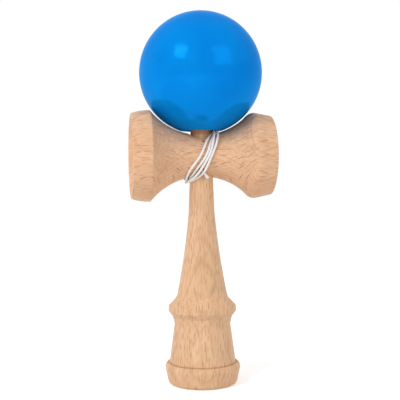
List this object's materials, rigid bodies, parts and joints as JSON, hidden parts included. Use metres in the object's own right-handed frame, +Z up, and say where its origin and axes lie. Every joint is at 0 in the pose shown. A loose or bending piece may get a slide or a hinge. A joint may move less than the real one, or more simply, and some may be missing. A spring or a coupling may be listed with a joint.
{
  "type": "cup and ball toy",
  "caption": "Turned wooden cup and ball toy: handle with a base cup and a spike, crosspiece with a cup at each end, and a lacquered ball on the spike, tied on with a thin cord.",
  "frame": {"origin": "centre of the base cup's rim, on the surface that the toy stands on", "axes": "+Z up along the handle to the ball, +X towards the small cup and -X towards the big cup, with the front of the cord winding facing -Y"},
  "size_m": [0.069, 0.0615, 0.1838],
  "materials": {
    "beech": "fine sanded satin beech",
    "blue_lacquer": "gloss blue lacquer on wood",
    "white_cord": "thin white braided cord"
  },
  "bodies": {
    "handle": {"handle": "beech", "crosspiece": "beech", "cord_winding": "white_cord", "cord_to_ball": "white_cord", "cord_tail": "white_cord"},
    "bead": {"swivel_bead": "beech", "bead_knot": "white_cord"},
    "ball": {"ball": "blue_lacquer"}
  },
  "joints": [
    {"name": "ball_lift", "type": "slide", "parent": "handle", "child": "bead", "axis": [0, 0, 1], "range_m": [0, 0.045], "deforming": ["cord_to_ball"]},
    {"name": "ball_spin", "type": "hinge", "parent": "bead", "child": "ball", "pos_m": [0, 0, 0.15237], "axis": [0, 0, 1], "continuous": true}
  ]
}
